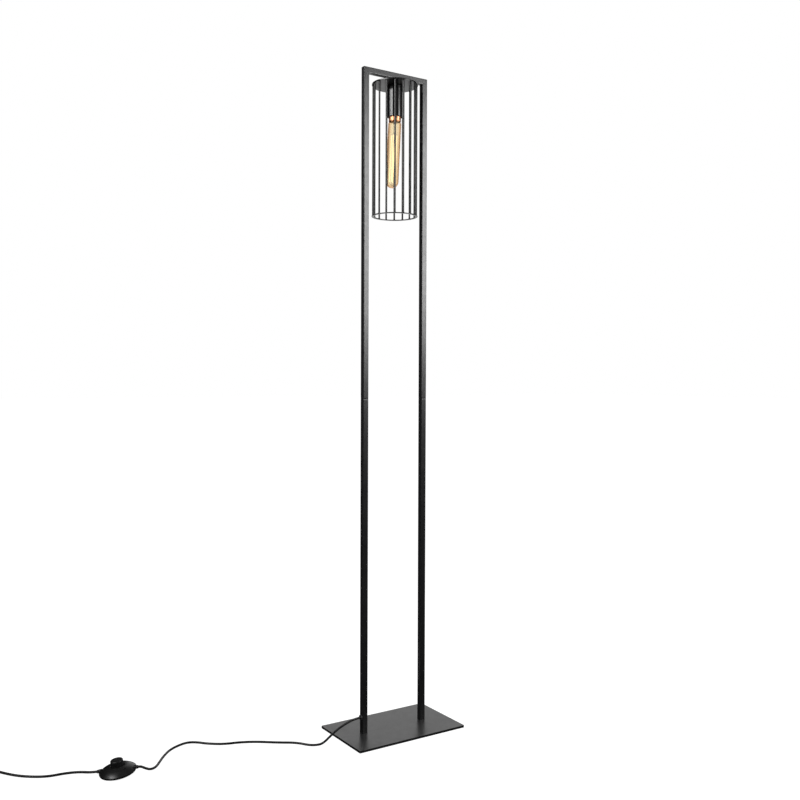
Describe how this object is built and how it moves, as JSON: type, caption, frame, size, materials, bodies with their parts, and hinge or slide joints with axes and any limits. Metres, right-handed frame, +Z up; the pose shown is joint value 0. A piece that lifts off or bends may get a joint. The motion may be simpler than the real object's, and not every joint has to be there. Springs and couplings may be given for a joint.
{
  "type": "floor lamp",
  "caption": "Slim floor lamp: square-tube frame on a flat plate, a round cage of upright bars hung under the top bar, a tubular amber bulb in it, and a cord with a foot switch.",
  "frame": {"origin": "middle of the base's outline, on the floor under the pads", "axes": "+X along the frame from the cord's post to the other post, +Y away from the front, +Z up"},
  "size_m": [1.05, 0.3879, 1.5],
  "materials": {
    "pad_rubber": "matte moulded pads",
    "frame_coat": "black satin powder coat on square steel tube and plate",
    "cage_coat": "black satin powder coat on round steel bar",
    "zinc_steel": "zinc plated, dull",
    "cup_gloss": "black gloss enamel on spun steel",
    "holder_resin": "moulded heat-resistant resin",
    "contact_brass": "plain pressed strip",
    "amber_glass": "clear amber tinted bulb glass",
    "stem_glass": "clear pressed stem",
    "filament_coat": "warm coating that glows when lit",
    "support_wire": "thin drawn wire",
    "cap_copper": "pressed cap, copper coloured and a little dull",
    "cap_insulator": "black glassy disc",
    "contact_tin": "soldered tip",
    "cord_sheath": "black flexible sheath, faintly glossy",
    "core_insulation": "coloured core insulation",
    "bush_plastic": "black snap-in bush",
    "switch_plastic": "black, fine moulded texture",
    "button_plastic": "black, smoother than its cover",
    "mechanism_resin": "pale moulded block",
    "spring_steel": "drawn spring wire",
    "tie_band": "flat black band",
    "plug_plastic": "black moulded plug",
    "pin_nickel": "nickel plated pins"
  },
  "bodies": {
    "lamp": {"base_pads": "pad_rubber", "base_plate": "frame_coat", "base_screws": "zinc_steel", "foot_inserts": "zinc_steel", "left_lower_post": "frame_coat", "left_upper_post": "frame_coat", "right_lower_post": "frame_coat", "right_upper_post": "frame_coat", "top_bar": "frame_coat", "post_couplers": "zinc_steel", "hanger_nipple": "zinc_steel", "hanger_spacer": "frame_coat", "hanger_nut": "zinc_steel", "cage_top_disc": "cage_coat", "cage_bottom_ring": "cage_coat", "lampholder_cover": "cup_gloss", "lampholder_insert": "holder_resin", "lampholder_shell": "contact_brass", "lampholder_contact": "contact_brass", "lampholder_terminals": "contact_brass", "inner_cable": "cord_sheath", "cable_cores": "core_insulation", "cord_bush": "bush_plastic", "switch_base": "switch_plastic", "switch_cover": "switch_plastic", "switch_mechanism": "mechanism_resin", "switch_spring": "spring_steel", "switch_screws": "zinc_steel", "cord_to_switch": "cord_sheath", "cord_to_coil": "cord_sheath", "cord_coil": "cord_sheath", "coil_tie": "tie_band", "cord_to_plug": "cord_sheath", "plug_body": "plug_plastic", "plug_pins": "pin_nickel", "cage_bar_01": "cage_coat", "cage_bar_02": "cage_coat", "cage_bar_03": "cage_coat", "cage_bar_04": "cage_coat", "cage_bar_05": "cage_coat", "cage_bar_06": "cage_coat", "cage_bar_07": "cage_coat", "cage_bar_08": "cage_coat", "cage_bar_09": "cage_coat", "cage_bar_10": "cage_coat", "cage_bar_11": "cage_coat", "cage_bar_12": "cage_coat", "cage_bar_13": "cage_coat", "cage_bar_14": "cage_coat", "cage_bar_15": "cage_coat", "cage_bar_16": "cage_coat"},
    "bulb": {"bulb_glass": "amber_glass", "bulb_stem": "stem_glass", "bulb_filaments": "filament_coat", "bulb_wires": "support_wire", "bulb_cap": "cap_copper", "bulb_insulator": "cap_insulator", "bulb_contact": "contact_tin"},
    "button": {"switch_button": "button_plastic"}
  },
  "joints": [
    {"name": "bulb_out", "type": "slide", "parent": "lamp", "child": "bulb", "axis": [0, 0, -1], "range_m": [0, 0.262]},
    {"name": "button_press", "type": "slide", "parent": "lamp", "child": "button", "axis": [0.1219, 0, -0.9925], "range_m": [0, 0.003], "stiffness_N_per_m": 600, "springref_m": -0.001, "deforming": ["switch_spring"]}
  ]
}
